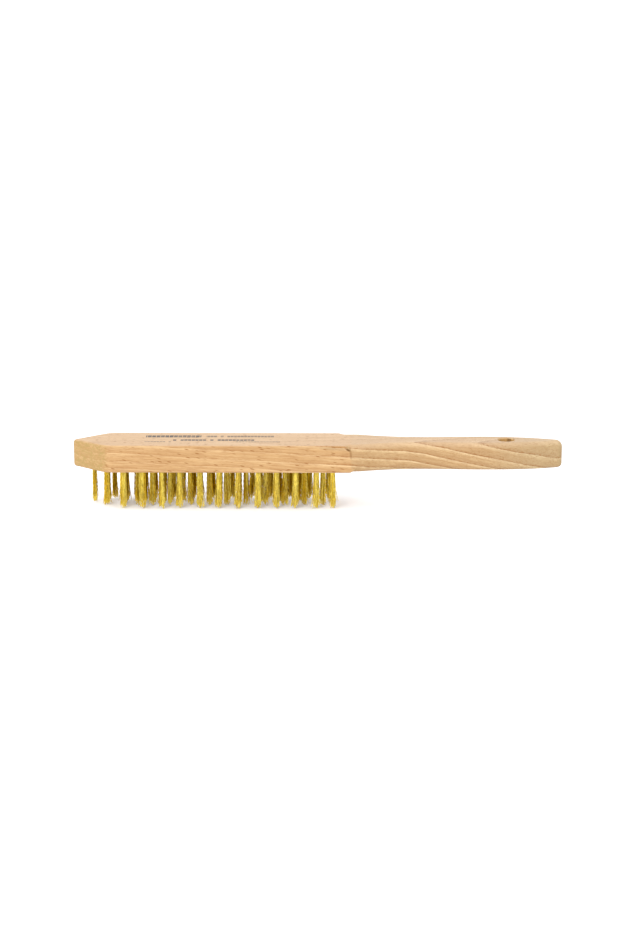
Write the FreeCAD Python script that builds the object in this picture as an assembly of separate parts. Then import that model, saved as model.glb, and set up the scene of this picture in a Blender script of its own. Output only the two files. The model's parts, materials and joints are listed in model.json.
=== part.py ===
"""Brass scratch brush: a beech handle board with four staggered rows of stapled wire tufts.

Frame: origin on the surface that the bristle tips stand on, below the middle of the brush.
+X runs from the nose to the hanging end, +Y across the board, +Z up. Millimetres.
A station is a distance along the brush, measured from the nose.
"""
import FreeCAD
import Part
import math
import os

from FreeCAD import Vector

os.makedirs("parts", exist_ok=True)

# Overall size
LENGTH = 290.0
HEAD_WIDTH = 35.0
BOARD_THICKNESS = 16.4
TRIM_LENGTH = 23.0

# Head
NOSE_FLAT = 2.4
NOSE_TAPER_STATION = 20.3
NOSE_CORNER_RADIUS = 2.3
TAPER_CORNER_RADIUS = 10.0
HEAD_EDGE_RADIUS = 0.8
NOSE_EDGE_RADIUS = 2.0

# Grip: stations and widths of the shoulder, the neck and the palm swell
SHOULDER_STATION = 167.6
SHOULDER_RADIUS = 14.0
NECK_STATION = 208.0
NECK_WIDTH = 21.7
PALM_STATION = 242.0
PALM_WIDTH = 24.6
END_RADIUS = 4.4
GRIP_EDGE_RADIUS = 4.7
END_TOP_EDGE_RADIUS = 4.2
END_BOTTOM_EDGE_RADIUS = 2.4

# The edge rounding starts where a round cutter was let into the corner. Each long edge was cut in
# a pass of its own, so the stations differ. A pass is a side, -1 near or 1 far, and a face.
CUTTER_NECK_RADIUS = 0.5
CUTTER_STATIONS = {
    (-1, "top"): 164.4,
    (1, "top"): 161.8,
    (-1, "bottom"): 167.6,
    (1, "bottom"): 165.8,
}

# Hanging hole
HANGING_HOLE_STATION = 256.7
HANGING_HOLE_RADIUS = 4.75
HANGING_HOLE_EASE = 0.7

# Tufts
ROW_SPACING = 7.8
HOLE_RADIUS = 1.7
HOLE_DEPTH = 9.0
DRILL_POINT_ANGLE = 118.0
TUFT_ROOT_RADIUS = 1.6
TUFT_TIP_RADIUS = 1.95
FOLD_CLEARANCE = 0.1

# Staples
STAPLE_WIRE_RADIUS = 0.45
STAPLE_LEG_OFFSET = 1.15
STAPLE_BEND_RADIUS = 0.6
STAPLE_BITE = 4.0
STAPLE_CROWN_DEPTH = 7.0
STAPLE_TURN = 45.0
STAPLE_CHANNEL_CLEARANCE = 0.05

# Rows, nearest first. "nose" holds the stations of the tufts set by hand round the pointed nose;
# the rest of the row is drilled at an even pitch. "off" holds the holes drilled off that pitch.
ROWS = [
    {"name": "a", "offset": -1.5, "nose": [], "first": 30.0, "pitch": 11.3, "count": 12,
     "off": {3: -0.7, 7: 0.5, 10: 1.0, 11: -0.7}},
    {"name": "b", "offset": -0.5, "nose": [19.7, 29.2, 38.2], "first": 46.8, "pitch": 11.25,
     "count": 10, "off": {1: -0.7, 4: -0.9, 5: -0.7}},
    {"name": "c", "offset": 0.5, "nose": [11.8, 19.7], "first": 30.8, "pitch": 11.35,
     "count": 11, "off": {4: -1.2, 5: -1.0, 6: -0.8, 7: 0.6, 8: 0.6, 9: 0.8}},
    {"name": "d", "offset": 1.5, "nose": [22.9, 36.6], "first": 47.2, "pitch": 11.6,
     "count": 10, "off": {5: 0.5}},
]

# Levels
BOARD_BOTTOM = TRIM_LENGTH
BOARD_TOP = TRIM_LENGTH + BOARD_THICKNESS
HOLE_BOTTOM = BOARD_BOTTOM + HOLE_DEPTH
STAPLE_CROWN_LEVEL = BOARD_BOTTOM + STAPLE_CROWN_DEPTH
STAPLE_POINT_LEVEL = HOLE_BOTTOM + STAPLE_BITE

OVERSHOOT = 1.0
UP = Vector(0, 0, 1)


def x_at(station):
    return station - LENGTH / 2


def prism(edges, bottom, height):
    wire = Part.Wire(Part.sortEdges(edges)[0])
    face = Part.Face(wire)
    solid = face.extrude(UP * height)
    solid.translate(UP * bottom)
    return solid


def arc_edge(start, middle, end):
    return Part.Arc(start, middle, end).toShape()


def mirrored(points):
    return [Vector(p.x, -p.y, p.z) for p in points]


def level_s_curve(start, end, first_radius):
    """Two tangent arcs between two points where the outline runs along X."""
    run = end.x - start.x
    rise = end.y - start.y
    turn = 2 * math.atan(abs(rise) / run)
    second_radius = run / math.sin(turn) - first_radius
    sign = math.copysign(1, rise)

    def on_first(angle):
        return start + Vector(first_radius * math.sin(angle),
                              sign * first_radius * (1 - math.cos(angle)), 0)

    def on_second(angle):
        return end - Vector(second_radius * math.sin(angle),
                            sign * second_radius * (1 - math.cos(angle)), 0)

    return [
        [start, on_first(turn / 2), on_first(turn)],
        [on_first(turn), on_second(turn / 2), end],
    ]


def equal_arc_radius(start, end):
    """The radius at which both arcs of a level S curve are the same."""
    run = end.x - start.x
    rise = end.y - start.y
    return run / (2 * math.sin(2 * math.atan(rise / run)))


def end_arcs(palm):
    """The long side arc from the palm to the end, and half of the small arc of the end."""
    reach = x_at(LENGTH) - END_RADIUS - palm.x
    half_width = palm.y
    side_radius = (reach**2 + half_width**2 - END_RADIUS**2) / (2 * (half_width - END_RADIUS))
    turn = math.asin(reach / (side_radius - END_RADIUS))

    def on_side(angle):
        return palm + Vector(side_radius * math.sin(angle),
                             side_radius * (math.cos(angle) - 1), 0)

    centre = Vector(x_at(LENGTH) - END_RADIUS, 0, 0)

    def on_end(angle):
        return centre + Vector(END_RADIUS * math.sin(angle), END_RADIUS * math.cos(angle), 0)

    tip = on_end(math.pi / 2)
    middle = on_end((turn + math.pi / 2) / 2)
    return [
        [palm, on_side(turn / 2), on_side(turn)],
        [on_side(turn), middle, tip],
    ]


def make_head():
    nose_x = x_at(0)
    taper_x = x_at(NOSE_TAPER_STATION)
    shoulder_x = x_at(SHOULDER_STATION)
    half_width = HEAD_WIDTH / 2
    corners = [
        Vector(nose_x, -NOSE_FLAT / 2, 0),
        Vector(taper_x, -half_width, 0),
        Vector(shoulder_x, -half_width, 0),
        Vector(shoulder_x, half_width, 0),
        Vector(taper_x, half_width, 0),
        Vector(nose_x, NOSE_FLAT / 2, 0),
    ]
    outline = Part.makePolygon(corners + corners[:1])
    head = prism(outline.Edges, BOARD_BOTTOM, BOARD_THICKNESS)
    head = round_upright_edges(head, nose_x, NOSE_CORNER_RADIUS)
    head = round_upright_edges(head, taper_x, TAPER_CORNER_RADIUS)
    head = round_edges(head, head_edge_radii(head, nose_x, taper_x, shoulder_x))
    return head.cut(shoulder_cutters())


def head_edge_radii(head, nose_x, taper_x, shoulder_x):
    """Small roundings along the sides that grow along the tapers to the nose."""
    settings = []
    for number, edge in enumerate(head.Edges, start=1):
        box = edge.BoundBox
        if box.ZLength > 0.01 or box.XMin > shoulder_x - OVERSHOOT:
            continue
        if box.XMax < nose_x + NOSE_CORNER_RADIUS:
            settings.append((number, NOSE_EDGE_RADIUS, NOSE_EDGE_RADIUS))
        elif box.XMin < nose_x + NOSE_CORNER_RADIUS and box.XMax < taper_x:
            settings.append((number,) + rising_radii(edge, NOSE_EDGE_RADIUS, HEAD_EDGE_RADIUS))
        else:
            settings.append((number, HEAD_EDGE_RADIUS, HEAD_EDGE_RADIUS))
    return settings


def rising_radii(edge, low_x_radius, high_x_radius):
    """The two radii in the order of the edge's own direction."""
    if edge.valueAt(edge.FirstParameter).x < edge.valueAt(edge.LastParameter).x:
        return low_x_radius, high_x_radius
    return high_x_radius, low_x_radius


def round_edges(solid, settings):
    """Round the numbered edges, each with a radius at its start and one at its end."""
    document = FreeCAD.newDocument("rounding")
    source = document.addObject("Part::Feature", "source")
    source.Shape = solid
    rounded = document.addObject("Part::Fillet", "rounded")
    rounded.Base = source
    rounded.Edges = settings
    document.recompute()
    return rounded.Shape.Solids[0]


def round_upright_edges(solid, x, radius):
    upright = [e for e in solid.Edges
               if e.BoundBox.ZLength > BOARD_THICKNESS / 2 and abs(e.BoundBox.XMin - x) < 0.01]
    return solid.makeFillet(radius, upright)


def cutter_profile():
    """Half of the cutter's section, from its axis out past its arc, as it stands over an edge."""
    radius = GRIP_EDGE_RADIUS
    inner = CUTTER_NECK_RADIUS
    diagonal = radius * math.sqrt(0.5)
    start = Vector(inner, 0, -radius)
    middle = Vector(inner + radius - diagonal, 0, diagonal - radius)
    end = Vector(inner + radius, 0, 0)
    top_outer = Vector(inner + radius, 0, OVERSHOOT)
    top_axis = Vector(0, 0, OVERSHOOT)
    low_axis = Vector(0, 0, -radius)
    edges = [
        arc_edge(start, middle, end),
        Part.makeLine(end, top_outer),
        Part.makeLine(top_outer, top_axis),
        Part.makeLine(top_axis, low_axis),
        Part.makeLine(low_axis, start),
    ]
    return Part.Face(Part.Wire(edges))


def shoulder_cutters():
    """What each pass takes off the head: the cutter let in, then run along to the shoulder."""
    origin = Vector(0, 0, 0)
    cutters = []
    for (side, face), station in CUTTER_STATIONS.items():
        profile = cutter_profile()
        cutter = profile.revolve(origin, UP, 360)
        run = SHOULDER_STATION - station
        if run > 0:
            facing_wood = profile.rotated(origin, UP, -90 * side)
            cutter = cutter.fuse(facing_wood.extrude(Vector(run, 0, 0)))
        level = BOARD_TOP
        if face == "bottom":
            cutter = cutter.mirror(origin, UP)
            level = BOARD_BOTTOM
        across = side * (HEAD_WIDTH / 2 + CUTTER_NECK_RADIUS)
        cutters.append(cutter.translated(Vector(x_at(station), across, level)))
    return cutters


def make_grip():
    shoulder = Vector(x_at(SHOULDER_STATION), HEAD_WIDTH / 2, 0)
    neck = Vector(x_at(NECK_STATION), NECK_WIDTH / 2, 0)
    palm = Vector(x_at(PALM_STATION), PALM_WIDTH / 2, 0)
    arcs = level_s_curve(shoulder, neck, SHOULDER_RADIUS)
    arcs += level_s_curve(neck, palm, equal_arc_radius(neck, palm))
    arcs += end_arcs(palm)
    edges = [arc_edge(*points) for points in arcs]
    edges += [arc_edge(*mirrored(points)) for points in arcs]
    edges.append(Part.makeLine(shoulder, mirrored([shoulder])[0]))
    grip = prism(edges, BOARD_BOTTOM, BOARD_THICKNESS)
    return round_edges(grip, grip_edge_radii(grip, shoulder.x, palm.x))


def grip_edge_radii(grip, shoulder_x, palm_x):
    """One radius along the long edges. It falls from the palm to the end, most of all below."""
    end_centre_x = x_at(LENGTH) - END_RADIUS
    middle_level = (BOARD_TOP + BOARD_BOTTOM) / 2
    settings = []
    for number, edge in enumerate(grip.Edges, start=1):
        box = edge.BoundBox
        if box.ZLength > 0.01 or box.XMax < shoulder_x + 0.01:
            continue
        end_radius = END_BOTTOM_EDGE_RADIUS if box.ZMax < middle_level else END_TOP_EDGE_RADIUS
        if box.XMin > end_centre_x:
            settings.append((number, end_radius, end_radius))
        elif box.XMin > palm_x - 0.01:
            settings.append((number,) + rising_radii(edge, GRIP_EDGE_RADIUS, end_radius))
        else:
            settings.append((number, GRIP_EDGE_RADIUS, GRIP_EDGE_RADIUS))
    return settings


def hanging_hole():
    """The through hole with its two eased rims."""
    x = x_at(HANGING_HOLE_STATION)
    radius = HANGING_HOLE_RADIUS
    ease = HANGING_HOLE_EASE
    bore = Part.makeCylinder(radius, BOARD_THICKNESS, Vector(x, 0, BOARD_BOTTOM), UP)
    lower = Part.makeCone(radius + ease, radius, ease, Vector(x, 0, BOARD_BOTTOM), UP)
    upper = Part.makeCone(radius, radius + ease, ease, Vector(x, 0, BOARD_TOP - ease), UP)
    return bore.fuse([lower, upper])


def tuft_places():
    """Node name, row name and foot of the hole for every tuft."""
    places = []
    for row in ROWS:
        stations = list(row["nose"])
        for index in range(row["count"]):
            stations.append(row["first"] + index * row["pitch"] + row["off"].get(index, 0.0))
        for number, station in enumerate(stations, start=1):
            node = f"tuft_{row['name']}{number:02d}"
            foot = Vector(x_at(station), row["offset"] * ROW_SPACING, 0)
            places.append((node, row["name"], foot))
    return places


def make_staple(wire_radius):
    """A U of round wire on the axis of its hole: the crown below, the two legs up."""
    direction = Vector(math.cos(math.radians(STAPLE_TURN)), math.sin(math.radians(STAPLE_TURN)), 0)
    bend = STAPLE_BEND_RADIUS
    corner = bend * (1 - math.sqrt(0.5))
    crown = UP * STAPLE_CROWN_LEVEL

    def at(across, height):
        return crown + direction * across + UP * height

    leg = STAPLE_LEG_OFFSET
    top = STAPLE_POINT_LEVEL - STAPLE_CROWN_LEVEL
    path = Part.Wire([
        Part.makeLine(at(-leg, top), at(-leg, bend)),
        arc_edge(at(-leg, bend), at(-leg + corner, corner), at(-leg + bend, 0)),
        Part.makeLine(at(-leg + bend, 0), at(leg - bend, 0)),
        arc_edge(at(leg - bend, 0), at(leg - corner, corner), at(leg, bend)),
        Part.makeLine(at(leg, bend), at(leg, top)),
    ])
    section = Part.Wire([Part.makeCircle(wire_radius, at(-leg, top), UP)])
    return path.makePipeShell([section], True, False)


def make_hole():
    """A blind drilled hole with the cone that the drill's point leaves."""
    cone_height = HOLE_RADIUS / math.tan(math.radians(DRILL_POINT_ANGLE / 2))
    bore = Part.makeCylinder(HOLE_RADIUS, HOLE_DEPTH + OVERSHOOT,
                             UP * (BOARD_BOTTOM - OVERSHOOT), UP)
    cone = Part.makeCone(HOLE_RADIUS, 0, cone_height, UP * HOLE_BOTTOM, UP)
    return bore.fuse(cone)


def make_tuft():
    """A folded bundle of wires: straight in its hole, wider at the tips, round at the fold."""
    direction = Vector(math.cos(math.radians(STAPLE_TURN)), math.sin(math.radians(STAPLE_TURN)), 0)
    radius = TUFT_ROOT_RADIUS
    fold_level = HOLE_BOTTOM - radius - FOLD_CLEARANCE
    flare = Part.makeCone(TUFT_TIP_RADIUS, radius, BOARD_BOTTOM, Vector(0, 0, 0), UP)
    shank = Part.makeCylinder(radius, HOLE_BOTTOM - BOARD_BOTTOM, UP * BOARD_BOTTOM, UP)
    bundle = flare.fuse(shank)
    reach = radius + OVERSHOOT
    fold = Part.makeCylinder(radius, 2 * reach, UP * fold_level - direction * reach, direction)
    below = Part.makeCylinder(reach, fold_level + OVERSHOOT, UP * -OVERSHOOT, UP)
    bundle = bundle.common(fold.fuse(below))
    channel = make_staple(STAPLE_WIRE_RADIUS + STAPLE_CHANNEL_CLEARANCE)
    return bundle.cut(channel).removeSplitter()


def make_handle(places):
    board = make_head().fuse(make_grip()).removeSplitter()
    hole = make_hole()
    staple = make_staple(STAPLE_WIRE_RADIUS)
    cutters = [hanging_hole()]
    for _, _, foot in places:
        cutters.append(hole.translated(foot))
        cutters.append(staple.translated(foot))
    return board.cut(cutters).removeSplitter()


def export(shape, node):
    shape.exportStep(f"parts/{node}.step")


def report(node, shape):
    box = shape.optimalBoundingBox()
    print(node, "valid", shape.isValid(), "solids", len(shape.Solids), "faces", len(shape.Faces),
          "volume", round(shape.Volume, 1),
          "x", round(box.XMin, 2), round(box.XMax, 2),
          "y", round(box.YMin, 2), round(box.YMax, 2),
          "z", round(box.ZMin, 2), round(box.ZMax, 2))


def main():
    places = tuft_places()
    handle = make_handle(places)
    export(handle, "beech_handle")
    report("beech_handle", handle)

    tuft = make_tuft()
    report("tuft", tuft)
    for node, _, foot in places:
        export(tuft.translated(foot), node)

    staple = make_staple(STAPLE_WIRE_RADIUS)
    report("staple", staple)
    for row in ROWS:
        group = [staple.translated(foot) for _, name, foot in places if name == row["name"]]
        node = f"staples_row_{row['name']}"
        export(Part.makeCompound(group), node)
        print(node, len(group))


main()
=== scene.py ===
"""Looks of the brass scratch brush: the beech board and its fifty tufts of crimped wire.

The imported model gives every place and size. The board keeps its CAD mesh and gets its wood here.
Each tuft's plain CAD solid is replaced by the folded wires that the real tuft is made of.
"""
import bpy
import json
import math
import numpy
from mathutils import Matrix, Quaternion, Vector


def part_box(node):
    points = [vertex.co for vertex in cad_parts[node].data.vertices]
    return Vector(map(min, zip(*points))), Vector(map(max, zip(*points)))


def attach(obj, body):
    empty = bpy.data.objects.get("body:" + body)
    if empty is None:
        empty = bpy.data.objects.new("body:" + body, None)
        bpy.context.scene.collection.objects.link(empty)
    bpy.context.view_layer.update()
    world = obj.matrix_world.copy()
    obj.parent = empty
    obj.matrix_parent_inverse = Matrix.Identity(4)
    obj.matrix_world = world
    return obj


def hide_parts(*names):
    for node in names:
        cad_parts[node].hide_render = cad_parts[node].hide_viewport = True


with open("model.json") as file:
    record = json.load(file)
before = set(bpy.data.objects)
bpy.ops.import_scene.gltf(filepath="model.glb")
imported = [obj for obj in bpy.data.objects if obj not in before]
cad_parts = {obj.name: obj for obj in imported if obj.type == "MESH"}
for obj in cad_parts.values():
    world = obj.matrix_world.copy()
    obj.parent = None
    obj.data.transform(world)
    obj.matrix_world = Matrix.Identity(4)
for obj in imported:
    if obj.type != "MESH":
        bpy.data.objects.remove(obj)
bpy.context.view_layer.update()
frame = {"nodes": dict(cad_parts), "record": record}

MM = 0.001
UP = Vector((0, 0, 1))

# Board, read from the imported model
BOARD_LOW, BOARD_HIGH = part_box("beech_handle")
BOARD_BOTTOM = BOARD_LOW[2]
BOARD_TOP = BOARD_HIGH[2]
HALF_WIDTH = BOARD_HIGH[1]

# Wires of one tuft, in metres
FOLDED_WIRES = 32
WIRE_RADIUS = 0.15 * MM
MOUTH_RADIUS = 1.52 * MM
TIP_RADIUS = 1.85 * MM
FOLD_LEVEL = BOARD_BOTTOM + 7.0 * MM
FOLD_INNER = 0.62 * MM
FOLD_OUTER = 1.7 * MM
FOLD_REACH = 0.5 * MM
STAPLE_TURN = math.radians(45)
CRIMP_LENGTH = 3.1 * MM
CRIMP_HEIGHT = 0.1 * MM
TUFT_LEAN = 0.2 * MM
TIP_SLANT = 0.25
LEAN = 0.45 * MM
STRAY_LEAN = 1.1 * MM
STRAY_SHARE = 0.2
RAGGED = 4.0 * MM
RIM_SHORTER = 1.6 * MM
WIRE_SIDES = 5
FREE_RINGS = 30
HELD_RINGS = 4
FOLD_RINGS = 5

# How full the holes are: the third row is set with fewer wires, and so are two tufts at the nose
ROW_FILL = {"a": 1.0, "b": 1.0, "c": 0.74, "d": 0.92}
SLENDER_TUFTS = {"tuft_c01": 0.75, "tuft_d01": 0.7}

# How bright the wires are, from 0 for dark brass to 1 for bright brass: each row's own brightness,
# which is painted shade darkening the rows towards the back, the painted light that the first tufts
# at the nose add to it, and the spread among the strands of a tuft and the wires of a strand
ROW_PAINTED_SHADE = {"a": 0.97, "b": 0.76, "c": 0.44, "d": 0.28}
NOSE_PAINTED_LIGHT = 0.25
STRAND_SPREAD = 0.4
WIRE_SPREAD = 0.28
STRANDS = 13

# Camera
CAMERA_TARGET = Vector((-4.4, 0, 23.4)) * MM
CAMERA_DISTANCE = 1.35
CAMERA_ELEVATION = math.radians(13.6)
CAMERA_ROLL = math.radians(0.08)
CAMERA_LENS = 87.7

# Light
WORLD_STRENGTH = 1.33
FLOOR_GLOW = 0.1
KEY_POWER = 10.5
KEY_PLACE = Vector((-0.6, -1.2, 0.7))
KEY_SIZE = 0.7
FLOOR_HALF = 10.0


class Nodes:
    """Short forms for building one material. Places in its textures are in millimetres."""

    def __init__(self, name):
        self.material = bpy.data.materials.new(name)
        self.material.use_nodes = True
        self.tree = self.material.node_tree
        self.shader = self.tree.nodes["Principled BSDF"]
        self.coordinates = self.tree.nodes.new("ShaderNodeTexCoord")
        self.place = self.scaled(self.coordinates.outputs["Object"], (1000, 1000, 1000))

    def feed(self, socket, value):
        if isinstance(value, bpy.types.NodeSocket):
            self.tree.links.new(value, socket)
        else:
            socket.default_value = value

    def math(self, operation, *values, clamp=False):
        node = self.tree.nodes.new("ShaderNodeMath")
        node.operation = operation
        node.use_clamp = clamp
        for socket, value in zip(node.inputs, values):
            self.feed(socket, value)
        return node.outputs[0]

    def add(self, *values):
        total = values[0]
        for value in values[1:]:
            total = self.math("ADD", total, value)
        return total

    def times(self, *values):
        product = values[0]
        for value in values[1:]:
            product = self.math("MULTIPLY", product, value)
        return product

    def scaled(self, vector, factors):
        node = self.tree.nodes.new("ShaderNodeVectorMath")
        node.operation = "MULTIPLY"
        self.feed(node.inputs[0], vector)
        self.feed(node.inputs[1], factors)
        return node.outputs[0]

    def apart(self, vector):
        node = self.tree.nodes.new("ShaderNodeSeparateXYZ")
        self.feed(node.inputs[0], vector)
        return node.outputs

    def together(self, x, y, z):
        node = self.tree.nodes.new("ShaderNodeCombineXYZ")
        for socket, value in zip(node.inputs, (x, y, z)):
            self.feed(socket, value)
        return node.outputs[0]

    def noise(self, place, sizes, detail=3.0, roughness=0.5):
        """Noise with features of about the given sizes along the three axes."""
        node = self.tree.nodes.new("ShaderNodeTexNoise")
        self.feed(node.inputs["Vector"], self.scaled(place, tuple(1 / size for size in sizes)))
        self.feed(node.inputs["Scale"], 1.0)
        self.feed(node.inputs["Detail"], detail)
        self.feed(node.inputs["Roughness"], roughness)
        return node.outputs["Fac"]

    def cells(self, place, sizes):
        node = self.tree.nodes.new("ShaderNodeTexVoronoi")
        self.feed(node.inputs["Vector"], self.scaled(place, tuple(1 / size for size in sizes)))
        self.feed(node.inputs["Scale"], 1.0)
        return node.outputs["Distance"], node.outputs["Color"]

    def chance(self, value):
        node = self.tree.nodes.new("ShaderNodeTexWhiteNoise")
        node.noise_dimensions = "1D"
        self.feed(node.inputs["W"], value)
        return node.outputs["Value"]

    def step(self, value, low, high, start=0.0, end=1.0):
        """A smooth rise from start at low to end at high."""
        node = self.tree.nodes.new("ShaderNodeMapRange")
        node.interpolation_type = "SMOOTHSTEP"
        for socket, number in zip(node.inputs[1:5], (low, high, start, end)):
            self.feed(socket, number)
        self.feed(node.inputs["Value"], value)
        return node.outputs[0]

    def mix(self, factor, first, second, blend="MIX"):
        node = self.tree.nodes.new("ShaderNodeMix")
        node.data_type = "RGBA"
        node.blend_type = blend
        self.feed(node.inputs["Factor"], factor)
        self.feed(node.inputs["A"], first)
        self.feed(node.inputs["B"], second)
        return node.outputs["Result"]

    def attribute(self, name):
        node = self.tree.nodes.new("ShaderNodeAttribute")
        node.attribute_name = name
        return node.outputs["Fac"]

    def bump(self, height, depth):
        node = self.tree.nodes.new("ShaderNodeBump")
        self.feed(node.inputs["Height"], height)
        self.feed(node.inputs["Distance"], depth)
        self.feed(node.inputs["Strength"], 1.0)
        self.feed(self.shader.inputs["Normal"], node.outputs["Normal"])


def colour(red, green, blue):
    return (red, green, blue, 1.0)


# Wood. Lengths in this part are in millimetres, in the board's own frame.

PITH = (-10.0, 55.0)
RING_START = 0.575
RING_RATE = 0.117
RING_NARROWING = 0.0018
HEAD_SLOPE = 0.05
GRIP_SLOPE = 0.217
SLOPE_CHANGE = 55.0
SLOPE_BLEND = 10.0
SWELL_PLACE = 60.0
SWELL_HEIGHT = 0.75

# Where along the board its figure changes: the start and the end of each smooth rise
GRIP_START = (18.8, 20.5)
RINGS_CLEARER = (-30, 45)
DIMPLED = (60, 80)
TOWARD_GRIP_END = (85, 140)

# Sizes of the figure's marks along, across and through the board
BAND = (60, 3.0, 1.9)
STREAK = (38, 1.6, 0.9)
FIBRE = (9, 0.75, 0.62)
CLOUD = (60, 25, 20)
PORE = (2.6, 0.4, 0.32)
SPECK = (2.0, 0.9, 0.7)
FLECK_CELL = (5.4, 1.3, 1.2)
SMALL_FLECK_CELL = (3.4, 1.0, 0.9)
TORN_PATCH = (1.5, 0.9, 0.8)
DIMPLE = (0.8, 0.6, 0.6)
DIMPLE_CLUSTER = (14, 6, 5)
MOTTLE = (2.4, 2.4, 1.2)

FLECK_LEAN = 0.15
LATE_WOOD_FALL = 1.6
WOOD_RELIEF = 0.04 * MM

WOOD_PALE = colour(0.53, 0.34, 0.158)
WOOD_MIDDLE = colour(0.455, 0.27, 0.113)
WOOD_DARK = colour(0.32, 0.155, 0.052)
RING_PALE = colour(0.67, 0.475, 0.26)
RING_LINE = colour(0.26, 0.115, 0.03)
FLECK = colour(0.23, 0.085, 0.012)
END_GRAIN = colour(0.34, 0.225, 0.075)
# Paler pink for faces turned up: a painted sheen.
BACK_PAINTED_SHEEN = colour(0.61, 0.43, 0.27)
GRIP_TINT = colour(0.33, 0.28, 0.165)
# Dark brown for burns, also used for painted shade in the shoulder crease.
BURN_AND_CREASE_SHADE = colour(0.1, 0.035, 0.002)
INK = colour(0.012, 0.01, 0.01)
BORE = colour(0.52, 0.30, 0.10)

# Plain ink bars on the back of the head: centre and height across, start and end along,
# pitch, share of places filled and strength
INK_ROWS = [
    (7.2, 5.4, -102.5, -69.5, 2.6, 0.95, 1.0),
    (7.2, 4.2, -66.5, -25.0, 2.0, 0.88, 0.75),
    (-2.4, 3.8, -86.0, -37.5, 2.2, 0.88, 1.0),
    (-6.8, 1.7, -102.5, -87.0, 1.8, 0.9, 0.75),
    (-6.8, 1.7, -49.0, -22.5, 1.8, 0.9, 0.7),
]


def grain_sweep(m, x):
    """How far the grain has dropped at x: a gentle slope in the head, a steeper one in the grip."""
    past = m.math("SUBTRACT", x, SLOPE_CHANGE)
    root = m.math("SQRT", m.add(m.times(past, past), SLOPE_BLEND**2))
    rise = m.times(m.add(past, root), 0.5 * (GRIP_SLOPE - HEAD_SLOPE))
    return m.add(rise, m.times(x, HEAD_SLOPE))


def growth_rings(m, x, y, z, sweep):
    """Position within a growth ring, from 0 in the dark late wood to 1 in the pale early wood."""
    across = m.math("SUBTRACT", y, PITH[0])
    down = m.math("SUBTRACT", z, PITH[1])
    radius = m.math("SQRT", m.add(m.times(across, across), m.times(down, down)))
    wander = m.times(m.math("SUBTRACT", m.noise(m.place, (40, 14, 12), 2.0), 0.5), 2.0)
    ragged = m.times(m.math("SUBTRACT", m.noise(m.place, (4, 1.4, 1.4), 3.0), 0.5), 0.6)
    off_swell = m.math("ABSOLUTE", m.math("SUBTRACT", x, SWELL_PLACE))
    swell = m.times(m.step(z, 35.5, 39.4), m.step(off_swell, 26.0, 6.0), SWELL_HEIGHT)
    field = m.add(m.math("SUBTRACT", sweep, radius), wander, ragged, swell)
    number = m.times(field, m.add(m.times(field, -RING_NARROWING), RING_RATE))
    return m.math("FRACT", m.add(number, RING_START))


def ink_bars(m, x, y, row):
    centre, height, start, end, pitch, filled, strength = row
    along = m.times(x, 1 / pitch)
    bar = m.times(m.math("LESS_THAN", m.math("FRACT", along), 0.86),
                  m.math("LESS_THAN", m.chance(m.math("FLOOR", along)), filled))
    off_centre = m.math("ABSOLUTE", m.math("SUBTRACT", y, centre))
    inside = m.times(m.math("LESS_THAN", off_centre, height / 2),
                     m.math("GREATER_THAN", x, start), m.math("LESS_THAN", x, end))
    return m.times(bar, inside, strength)


def ink(m, x, y, z, up):
    worn = m.step(m.noise(m.place, (7.0, 3.0, 3.0), 2.0), 0.35, 0.6)
    marks = 0.0
    for row in INK_ROWS:
        marks = m.math("ADD", marks, ink_bars(m, x, y, row))
    on_back = m.times(m.math("GREATER_THAN", up, 0.98),
                      m.math("GREATER_THAN", z, BOARD_TOP / MM - 0.5))
    return m.times(marks, on_back, m.add(m.times(worn, 0.3), 0.7))


def shoulder_burn_and_crease_shade(m, x, y, z):
    """The burn where the rounding cutter was let in, and painted shade along the crease that runs
    down from it.
    """
    side = m.math("SUBTRACT", m.math("ABSOLUTE", y), HALF_WIDTH / MM)
    smoke = m.times(m.math("SUBTRACT", m.noise(m.place, (3.0, 1.2, 1.2), 4.0, 0.6), 0.5), 1.2)

    def blot(centre_x, centre_z, reach_x, reach_z, fall):
        past = m.math("SUBTRACT", x, centre_x)
        dx = m.times(past, 1 / reach_x)
        dz = m.times(m.add(m.math("SUBTRACT", z, centre_z), m.times(past, fall)), 1 / reach_z)
        dy = m.times(side, 1 / 6)
        away = m.math("SQRT", m.add(m.times(dx, dx), m.times(dy, dy), m.times(dz, dz)))
        return m.step(m.add(away, smoke), 1.5, 0.3)

    notch = blot(17.5, 37.0, 1.7, 0.8, 0.5)
    trail = m.times(blot(9.0, 37.6, 9.0, 0.8, 0.06), 0.35)
    # Painted shade: a dark line down the crease below the burn.
    crease = m.times(blot(19.1, 34.9, 0.8, 3.2, 2.0), 0.42)
    return m.math("MAXIMUM", notch, m.math("MAXIMUM", trail, crease))


def bore_wall(m, x, y):
    """Where the wall of the hanging hole is, and a darker patch on it, right of the hole's centre.
    """
    hole = next(mount for mount in frame["record"]["mounts"] if mount["name"] == "hanging_hole")
    dx = m.math("SUBTRACT", x, hole["pos_m"][0] / MM)
    dy = m.math("SUBTRACT", y, hole["pos_m"][1] / MM)
    away = m.math("SQRT", m.add(m.times(dx, dx), m.times(dy, dy)))
    wall = m.math("LESS_THAN", away, hole["dims"]["r_mm"] + 0.25)
    off_patch = m.math("ABSOLUTE", m.math("SUBTRACT", dx, 2.2))
    patch = m.times(m.step(off_patch, 1.7, 0.6), wall)
    return wall, patch


def ring_marks(m, grain, ring, clear):
    """Dark late wood, the line at its edge, pale early wood and the specks along the line."""
    late = m.math("POWER", m.math("SUBTRACT", 1.0, ring), LATE_WOOD_FALL)
    line = m.step(ring, 0.13, 0.0)
    early = m.step(ring, 0.68, 0.93)
    specks = m.times(m.step(m.noise(grain, SPECK, 2.0), 0.48, 0.6), m.step(ring, 0.24, 0.02))
    return [m.times(mark, clear) for mark in (late, line, early, specks)]


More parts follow.
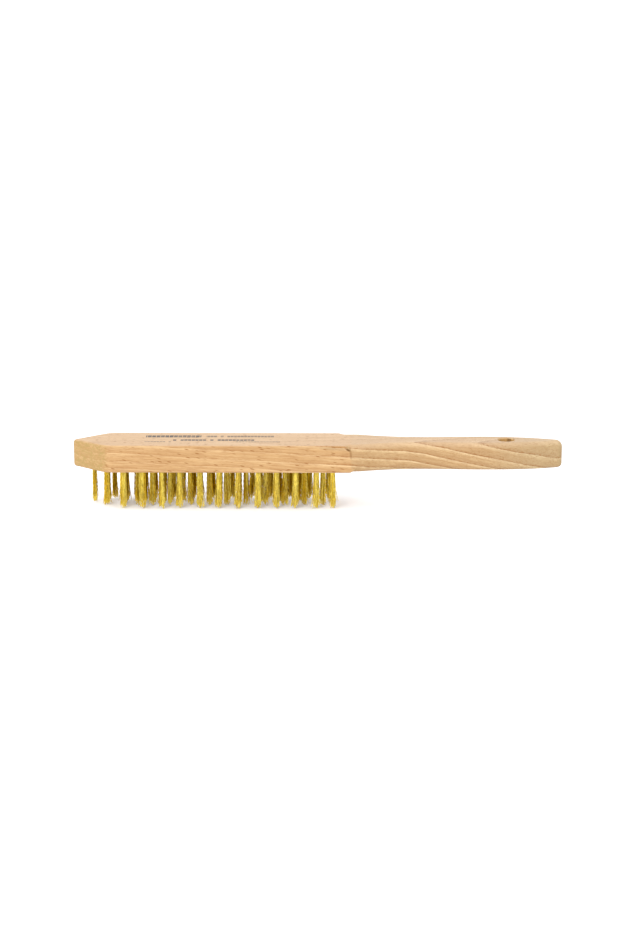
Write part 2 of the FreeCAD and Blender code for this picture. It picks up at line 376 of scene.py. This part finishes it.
def ray_flecks(m, x, y, z, sweep, sawn_along):
    """The short dark rays of beech, large and small. They lean more than the grain does."""
    place = m.together(x, y, m.add(z, sweep, m.times(x, FLECK_LEAN)))
    away, pick = m.cells(place, FLECK_CELL)
    kept = m.step(m.apart(pick)[0], 0.45, 0.7)
    large = m.times(m.step(away, 0.33, 0.14), kept, sawn_along)
    away, pick = m.cells(place, SMALL_FLECK_CELL)
    kept = m.step(m.apart(pick)[1], 0.45, 0.9)
    small = m.times(m.step(away, 0.3, 0.12), kept, sawn_along)
    return large, small


def grip_marks(m, x, grip):
    """Fibres torn by the rounding cutter, and clusters of fine dimples towards the end."""
    torn = m.times(m.step(m.noise(m.place, TORN_PATCH, 3.0, 0.6), 0.48, 0.68), grip)
    cluster = m.step(m.noise(m.place, DIMPLE_CLUSTER, 2.0), 0.44, 0.6)
    dimples = m.times(m.step(m.noise(m.place, DIMPLE, 1.0), 0.56, 0.68), cluster,
                      m.step(x, *DIMPLED))
    return torn, dimples


def laid_over(m, shade, layers):
    """Lay each colour over the shade, as strongly as its mask and its strength say."""
    for mask, strength, layer_colour in layers:
        shade = m.mix(m.times(mask, strength), shade, layer_colour)
    return shade


def beech():
    m = Nodes("beech_wood")
    x, y, z = m.apart(m.place)
    facing = m.apart(m.coordinates.outputs["Normal"])
    sweep = grain_sweep(m, x)
    grain = m.together(x, y, m.add(z, sweep))
    ring = growth_rings(m, x, y, z, sweep)
    grip = m.step(x, *GRIP_START)
    toward_grip_end = m.step(x, *TOWARD_GRIP_END)
    end_face = m.step(m.math("ABSOLUTE", facing[0]), 0.1, 0.65)
    sawn_along = m.times(m.math("SUBTRACT", 1.0, end_face), m.step(grip, 0.0, 1.0, 1.0, 0.35))

    late, line, early, specks = ring_marks(m, grain, ring, m.step(x, *RINGS_CLEARER, 0.3, 1.0))
    bands = m.step(m.noise(grain, BAND, 4.0, 0.6), 0.36, 0.64)
    streaks = m.step(m.noise(grain, STREAK, 3.0, 0.55), 0.55, 0.72)
    fibre = m.noise(grain, FIBRE, 4.0, 0.65)
    cloud = m.step(m.noise(m.place, CLOUD, 2.0), 0.35, 0.65)
    pores = m.step(m.noise(grain, PORE, 2.0, 0.5), 0.6, 0.72)
    flecks, small_flecks = ray_flecks(m, x, y, z, sweep, sawn_along)
    torn, dimples = grip_marks(m, x, grip)
    mottle = m.step(m.noise(m.place, MOTTLE, 3.0, 0.65), 0.38, 0.64, 0.3, 1.0)
    end_grain = m.times(end_face, mottle, m.step(grip, 0, 1, 0.95, 0.22))
    wall, patch = bore_wall(m, x, y)
    # Burns, painted shade in the shoulder crease and the darker patch in the hanging hole, all laid
    # on in the burn colour.
    scorch_crease_shade_and_patch = m.math("MAXIMUM", shoulder_burn_and_crease_shade(m, x, y, z), m.times(patch, 0.7))

    shade = laid_over(m, m.mix(bands, WOOD_PALE, WOOD_MIDDLE), [
        (late, 0.68, WOOD_DARK),
        (early, 0.85, RING_PALE),
        (streaks, 0.42, WOOD_DARK),
        (m.step(fibre, 0.42, 0.68), 0.6, WOOD_DARK),
        (cloud, 0.15, WOOD_DARK),
        (line, 0.5, RING_LINE),
        # The grip is greyer, and greyer again towards its end.
        (m.add(m.times(grip, 0.2), m.times(toward_grip_end, 0.15)), 1.0, GRIP_TINT),
        # Painted sheen: faces turned up are mixed towards a paler pink.
        (m.step(facing[2], 0.3, 0.95), 0.5, BACK_PAINTED_SHEEN),
        (toward_grip_end, 0.15, GRIP_TINT),
        (flecks, 0.88, FLECK),
        (small_flecks, 0.45, FLECK),
        (specks, 0.7, FLECK),
        (pores, 0.25, FLECK),
        (torn, 0.22, RING_LINE),
        (dimples, 0.45, RING_LINE),
        (end_grain, 1.0, END_GRAIN),
        (ink(m, x, y, z, facing[2]), 0.95, INK),
        (wall, 0.7, BORE),
        (scorch_crease_shade_and_patch, 0.9, BURN_AND_CREASE_SHADE),
    ])
    m.feed(m.shader.inputs["Base Color"], shade)

    rough = m.add(0.4, m.times(fibre, 0.14), m.times(end_face, 0.12), m.times(scorch_crease_shade_and_patch, 0.4))
    m.feed(m.shader.inputs["Roughness"], rough)
    m.shader.inputs["Specular IOR Level"].default_value = 0.3
    height = m.add(m.times(fibre, 0.6), m.times(pores, -0.8), m.times(flecks, -0.4))
    m.bump(height, WOOD_RELIEF)
    return m.material


# Metals

BRASS_BRIGHT = colour(1.0, 0.83, 0.17)
BRASS_MIDDLE = colour(0.86, 0.58, 0.03)
# Dark brass for low values: painted shade on the back rows, tarnish in the random spread.
BRASS_TARNISH_AND_SHADE = colour(0.40, 0.22, 0.004)
BRASS_DULL = colour(0.27, 0.145, 0.003)
BRASS_EDGE = colour(1.0, 0.80, 0.17)
ZINC_BRIGHT = colour(0.62, 0.63, 0.64)
ZINC_DULL = colour(0.36, 0.37, 0.38)


def brass():
    """Drawn brass wire: each wire has its own brightness, which carries its row's painted shade,
    with dull patches along its length and painted light towards the tips.
    """
    m = Nodes("brass_wire")
    tone_and_shade = m.attribute("tone_and_shade")
    height = m.apart(m.place)[2]
    patches = m.noise(m.place, (0.45, 0.45, 4.0), 3.0, 0.6)
    specks = m.noise(m.place, (0.12, 0.12, 0.5), 2.0)
    # Low values go to the dark brass: painted shade on the back rows, tarnish in the random spread.
    shade = m.mix(m.step(tone_and_shade, 0.05, 0.55), BRASS_TARNISH_AND_SHADE, BRASS_MIDDLE)
    shade = m.mix(m.step(tone_and_shade, 0.5, 1.0), shade, BRASS_BRIGHT)
    shade = m.mix(m.step(patches, 0.42, 0.62, 0.0, 0.55), shade, BRASS_DULL)
    shade = m.mix(m.step(specks, 0.55, 0.8, 0.0, 0.3), shade, BRASS_DULL)
    # Painted light: the lowest 7 mm of each wire, towards its tip, is mixed towards bright brass.
    shade = m.mix(m.step(height, 7.0, 0.0, 0.0, 0.5), shade, BRASS_BRIGHT)
    m.feed(m.shader.inputs["Base Color"], shade)
    m.shader.inputs["Metallic"].default_value = 1.0
    m.shader.inputs["Specular Tint"].default_value = BRASS_EDGE
    m.feed(m.shader.inputs["Roughness"], m.add(0.2, m.times(patches, 0.2), m.times(specks, 0.1)))
    m.bump(specks, 0.01 * MM)
    return m.material


def galvanised():
    """Zinc-coated staple wire with drawing marks along the legs."""
    m = Nodes("galvanised_wire")
    drawn = m.noise(m.place, (0.06, 0.06, 1.5), 3.0, 0.6)
    spangle = m.noise(m.place, (0.7, 0.7, 0.7), 2.0)
    shade = m.mix(m.step(spangle, 0.35, 0.65), ZINC_BRIGHT, ZINC_DULL)
    shade = m.mix(m.step(drawn, 0.45, 0.8, 0.0, 0.5), shade, ZINC_DULL)
    m.feed(m.shader.inputs["Base Color"], shade)
    m.shader.inputs["Metallic"].default_value = 1.0
    m.feed(m.shader.inputs["Roughness"], m.add(0.32, m.times(drawn, 0.25)))
    m.bump(drawn, 0.01 * MM)
    return m.material


# Tufts. A wire is a tube on a path of rings: up one leg, over the staple, down the other leg.

def half_disc(index, count, random):
    """An even spread of points over the half of the tuft's mouth on one side of the staple."""
    golden_angle = math.pi * (3 - math.sqrt(5))
    angle = (index * golden_angle) % math.pi
    reach = MOUTH_RADIUS * math.sqrt((index + 0.5) / count)
    jitter = random.normal(0, 0.05 * MM, 2)
    return numpy.array([reach * math.cos(angle), reach * math.sin(angle)]) + jitter


def leg_path(mouth, fold, bundle, random):
    """Ring centres of one leg in the staple's frame, from the tip up to the fold."""
    stray = random.random() < STRAY_SHARE
    lean = bundle["lean"] + random.normal(0, STRAY_LEAN if stray else LEAN, 2)
    outer = min(1, numpy.hypot(*mouth) / MOUTH_RADIUS)
    ragged = RAGGED * random.random() ** 1.5 + RIM_SHORTER * outer**2 + bundle["slant"] @ mouth
    free = BOARD_BOTTOM - max(ragged, 0.02 * MM)
    down = numpy.linspace(1, 0, FREE_RINGS)
    reach = numpy.sin(down * 0.6 * math.pi) * (bundle["spread"] - 1)
    points = mouth * (1 + reach[:, None]) + lean * (down**2.6)[:, None]
    wave = 2 * math.pi * down * free / CRIMP_LENGTH + random.uniform(0, 2 * math.pi)
    turned = random.uniform(0, 2 * math.pi)
    swing = CRIMP_HEIGHT * numpy.sin(wave) * numpy.minimum(1, down * 6)
    points = points + swing[:, None] * numpy.array([math.cos(turned), math.sin(turned)])
    levels = BOARD_BOTTOM - down * free
    held = numpy.linspace(0, 1, HELD_RINGS + 1)[1:]
    easing = (3 * held**2 - 2 * held**3)[:, None]
    inner = mouth * (1 - easing) + fold * easing
    inner_levels = BOARD_BOTTOM + held * (FOLD_LEVEL - BOARD_BOTTOM)
    flat = numpy.vstack([points, inner])
    heights = numpy.concatenate([levels, inner_levels])
    return numpy.column_stack([flat, heights])


def folded_wire(index, count, bundle, random):
    """Ring centres and the ring's second axis along one folded wire, in the staple's frame."""
    near = half_disc(index, count, random) * bundle["width"]
    far = half_disc(index, count, random) * (1, -1) * bundle["width"]
    drawn_in = (FOLD_OUTER - FOLD_INNER) / MOUTH_RADIUS
    radius = FOLD_INNER + abs(near[1]) * drawn_in
    along = near[0] / MOUTH_RADIUS * FOLD_REACH
    first = leg_path(near, numpy.array([along, radius]), bundle, random)
    second = leg_path(far, numpy.array([along, -radius]), bundle, random)
    angles = numpy.linspace(0, math.pi, FOLD_RINGS + 2)[1:-1]
    radial = numpy.column_stack([0 * angles, numpy.cos(angles), numpy.sin(angles)])
    bend = numpy.array([along, 0, FOLD_LEVEL]) + radius * radial
    axis = numpy.array([0.0, 1.0, 0.0])
    centres = numpy.vstack([first, bend, second[::-1]])
    axes = numpy.vstack([numpy.tile(axis, (len(first), 1)), radial,
                         numpy.tile(-axis, (len(second), 1))])
    # Each leg's rings carry its strand's brightness, which holds the row's painted shade.
    tones_and_shade = [strand_tone_and_shade(near, bundle, random)] * (len(first) + len(bend))
    tones_and_shade += [strand_tone_and_shade(far, bundle, random)] * len(second)
    return centres, axes, tones_and_shade


def strand_tone_and_shade(mouth, bundle, random):
    """Neighbouring wires stick together in strands that share one brightness, which carries the
    row's painted shade.
    """
    turn = math.atan2(mouth[1], mouth[0]) / (2 * math.pi)
    return bundle["tones_and_shade"][int(turn * STRANDS) % STRANDS] + random.normal(0, WIRE_SPREAD)


def tube(centres, axes, first_vertex):
    """Vertices and faces of a closed tube round the ring centres."""
    turns = 2 * math.pi * numpy.arange(WIRE_SIDES) / WIRE_SIDES
    level = numpy.array([1.0, 0.0, 0.0])
    rings = (centres[:, None, :]
             + WIRE_RADIUS * numpy.cos(turns)[None, :, None] * level
             + WIRE_RADIUS * numpy.sin(turns)[None, :, None] * axes[:, None, :])
    faces = []
    for ring in range(len(centres) - 1):
        low = first_vertex + ring * WIRE_SIDES
        high = low + WIRE_SIDES
        for side in range(WIRE_SIDES):
            after = (side + 1) % WIRE_SIDES
            faces.append((low + side, low + after, high + after, high + side))
    last = first_vertex + (len(centres) - 1) * WIRE_SIDES
    faces.append(tuple(first_vertex + side for side in reversed(range(WIRE_SIDES))))
    faces.append(tuple(last + side for side in range(WIRE_SIDES)))
    return rings.reshape(-1, 3), faces


def make_tuft(node, seed, material):
    random = numpy.random.default_rng(seed)
    low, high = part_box(node)
    foot = numpy.array([(low[0] + high[0]) / 2, (low[1] + high[1]) / 2, 0])
    row = node.removeprefix("tuft_")[0]
    # Painted shade by row, with painted light added for the first tufts at the nose.
    row_shade_and_nose_light = ROW_PAINTED_SHADE[row] + (NOSE_PAINTED_LIGHT if node in SLENDER_TUFTS else 0)
    fill = SLENDER_TUFTS.get(node, ROW_FILL[row]) * random.uniform(0.86, 1.0)
    count = round(FOLDED_WIRES * fill)
    bundle = {
        "width": math.sqrt(fill),
        "spread": TIP_RADIUS / MOUTH_RADIUS * random.uniform(0.95, 1.1),
        "lean": random.normal(0, TUFT_LEAN, 2),
        "slant": random.normal(0, TIP_SLANT, 2),
        "tones_and_shade": row_shade_and_nose_light + random.uniform(-STRAND_SPREAD, STRAND_SPREAD, STRANDS),
    }
    turn = numpy.array([[math.cos(STAPLE_TURN), -math.sin(STAPLE_TURN), 0],
                        [math.sin(STAPLE_TURN), math.cos(STAPLE_TURN), 0],
                        [0, 0, 1]])
    points = []
    faces = []
    tones_and_shade = []
    for index in range(count):
        centres, axes, ring_tones_and_shade = folded_wire(index, count, bundle, random)
        ring_points, ring_faces = tube(centres, axes, sum(len(part) for part in points))
        points.append(ring_points)
        faces += ring_faces
        tones_and_shade += list(numpy.repeat(ring_tones_and_shade, WIRE_SIDES))
    mesh = bpy.data.meshes.new(node.replace("tuft", "wires"))
    mesh.from_pydata(numpy.vstack(points) @ turn.T + foot, [], faces)
    # This attribute holds each wire's own brightness together with its row's painted shade.
    mesh.attributes.new("tone_and_shade", "FLOAT", "POINT").data.foreach_set("value", tones_and_shade)
    mesh.shade_smooth()
    mesh.materials.append(material)
    piece = bpy.data.objects.new(mesh.name, mesh)
    bpy.context.scene.collection.objects.link(piece)
    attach(piece, "root")
    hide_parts(node)
    return piece


# Studio

def aim(thing, target, roll=0.0):
    away = target - thing.location
    turn = away.to_track_quat("-Z", "Y") @ Quaternion(UP, roll)
    thing.rotation_euler = turn.to_euler()


def add_light(name, place, target, size, power):
    light = bpy.data.lights.new(name, "AREA")
    light.shape = "SQUARE"
    light.size = size
    light.energy = power
    lamp = bpy.data.objects.new(name, light)
    lamp.location = place
    aim(lamp, target)
    bpy.context.scene.collection.objects.link(lamp)


def add_camera():
    camera = bpy.data.cameras.new("camera")
    camera.sensor_width = 36
    camera.lens = CAMERA_LENS
    holder = bpy.data.objects.new("camera", camera)
    back = Vector((0, -math.cos(CAMERA_ELEVATION), math.sin(CAMERA_ELEVATION)))
    holder.location = CAMERA_TARGET + back * CAMERA_DISTANCE
    aim(holder, CAMERA_TARGET, CAMERA_ROLL)
    bpy.context.scene.collection.objects.link(holder)
    bpy.context.scene.camera = holder


def white_floor():
    m = Nodes("white_floor")
    grain = m.noise(m.place, (30, 30, 30), 3.0)
    m.feed(m.shader.inputs["Base Color"],
           m.mix(grain, colour(0.915, 0.93, 0.965), colour(0.935, 0.945, 0.975)))
    m.shader.inputs["Roughness"].default_value = 0.8
    m.shader.inputs["Emission Color"].default_value = colour(1, 1, 1)
    m.shader.inputs["Emission Strength"].default_value = FLOOR_GLOW
    return m.material


def add_floor():
    half = FLOOR_HALF
    corners = [(-half, -half, 0), (half, -half, 0), (half, half, 0), (-half, half, 0)]
    mesh = bpy.data.meshes.new("floor")
    mesh.from_pydata(corners, [], [(0, 1, 2, 3)])
    mesh.materials.append(white_floor())
    floor = bpy.data.objects.new("floor", mesh)
    bpy.context.scene.collection.objects.link(floor)


def add_world():
    world = bpy.data.worlds.new("studio")
    world.use_nodes = True
    background = world.node_tree.nodes["Background"]
    background.inputs["Color"].default_value = colour(1, 1, 1)
    background.inputs["Strength"].default_value = WORLD_STRENGTH
    bpy.context.scene.world = world


def set_material(node, material):
    for slot in frame["nodes"][node].material_slots:
        slot.material = material


def make_object():
    set_material("beech_handle", beech())
    steel = galvanised()
    wire = brass()
    tufts = sorted(name for name in frame["nodes"] if name.startswith("tuft_"))
    for name in frame["nodes"]:
        if name.startswith("staples_row_"):
            set_material(name, steel)
    for seed, node in enumerate(tufts):
        make_tuft(node, seed, wire)


def make_studio():
    add_world()
    add_floor()
    centre = Vector((0, 0, BOARD_TOP / 2))
    add_light("key", KEY_PLACE, centre, KEY_SIZE, KEY_POWER)
    add_camera()
    bpy.context.scene.view_settings.view_transform = "Standard"


make_object()
make_studio()
